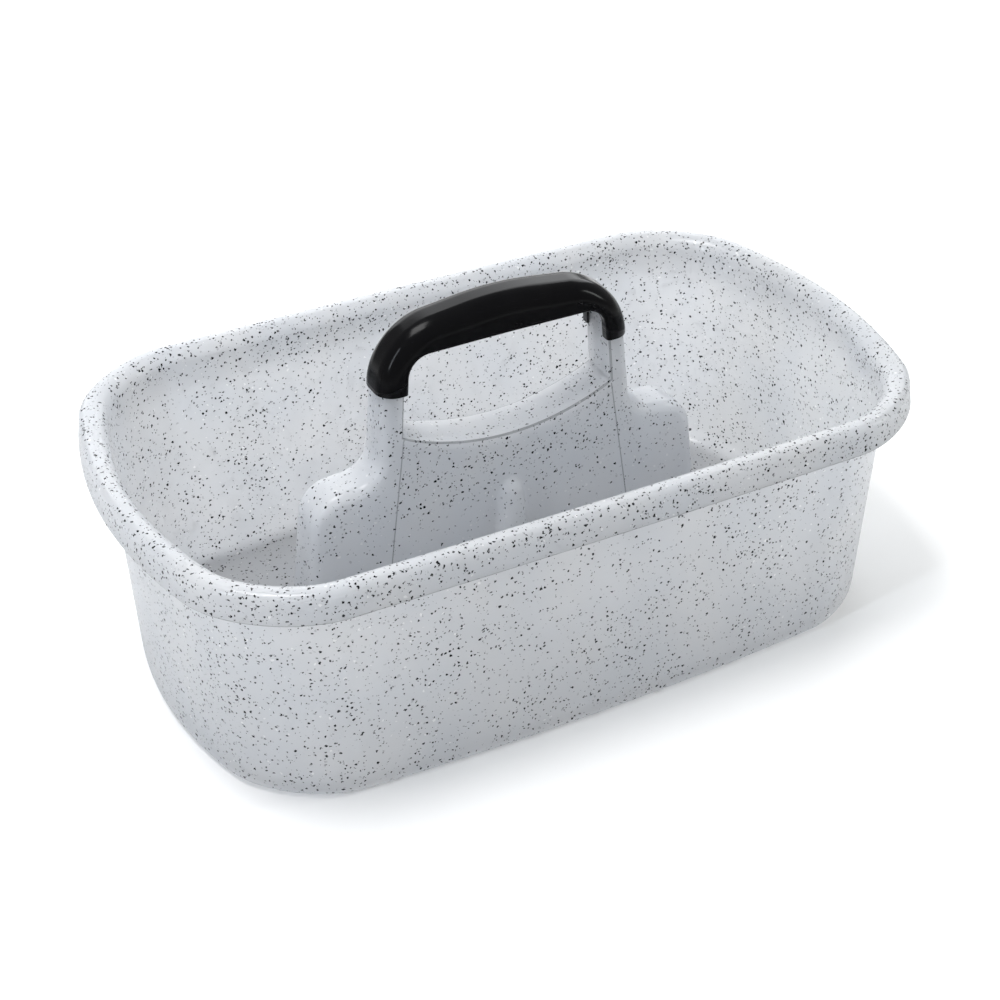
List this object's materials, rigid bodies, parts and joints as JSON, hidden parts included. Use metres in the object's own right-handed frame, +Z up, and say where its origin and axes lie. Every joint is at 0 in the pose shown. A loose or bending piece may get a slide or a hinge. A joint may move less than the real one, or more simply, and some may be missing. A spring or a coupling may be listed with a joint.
{
  "type": "cleaning caddy",
  "caption": "Open-topped speckled plastic cleaning caddy: a drafted tub with a rolled rim, a hollow centre divider that rises into a carrying arch, and a dark clip-on grip.",
  "frame": {"origin": "centre of the tub's flat underside, on the surface it stands on", "axes": "+X along the tub and the divider, +Y across the tub, +Z up"},
  "size_m": [0.3984, 0.2356, 0.1793],
  "materials": {
    "speckled_plastic": "frosted, translucent pale blue-grey moulded plastic with dense fine black flecks and sparse white flecks",
    "grip_plastic": "glossy black moulded plastic"
  },
  "bodies": {
    "root": {"tub": "speckled_plastic", "handle_divider": "speckled_plastic", "grip": "grip_plastic"}
  },
  "joints": []
}
